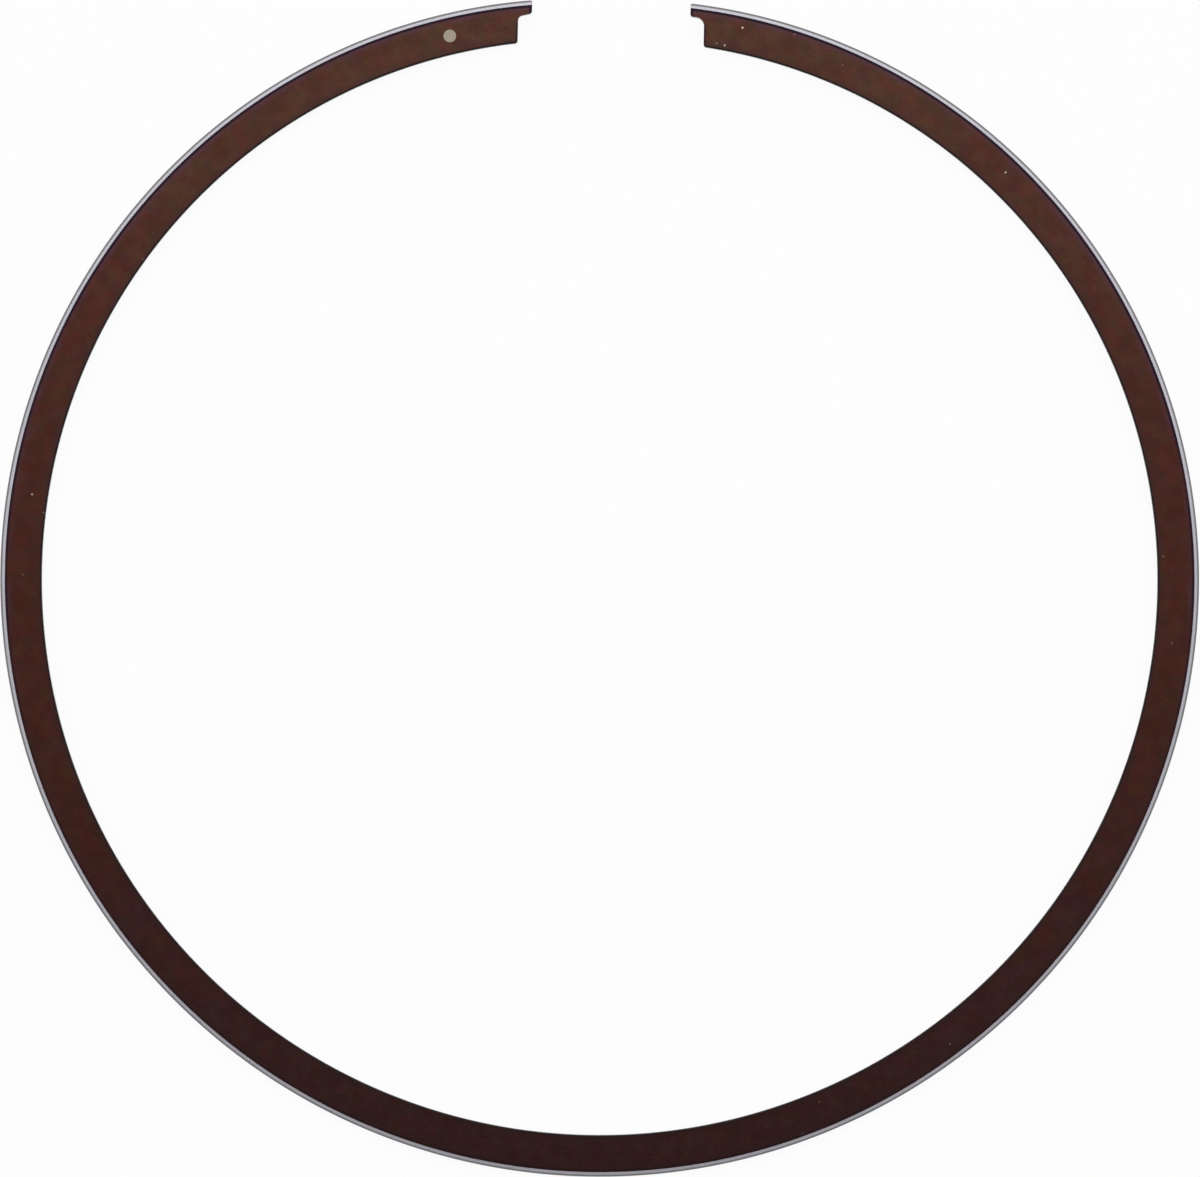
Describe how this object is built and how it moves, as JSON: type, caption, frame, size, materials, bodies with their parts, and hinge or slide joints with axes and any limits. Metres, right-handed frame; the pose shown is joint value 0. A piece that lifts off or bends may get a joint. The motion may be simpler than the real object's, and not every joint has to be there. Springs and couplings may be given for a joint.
{
  "type": "piston ring",
  "caption": "Split spring ring in its open, free shape, with flat dark sides, a bright plated running face and a thin lip over a pin recess at each end.",
  "frame": {"origin": "centre of the ring's outer box, on its lower side", "axes": "+Z along the cylinder's axis, up from the lower side; +Y from the back of the ring towards its gap; +X across the gap"},
  "size_m": [0.0696, 0.0682, 0.001],
  "materials": {
    "ring_metal": "brown oxide coat on the sides, ends and inner wall, with a bright ground running face"
  },
  "bodies": {
    "root": {"piston_ring": "ring_metal"}
  },
  "joints": []
}
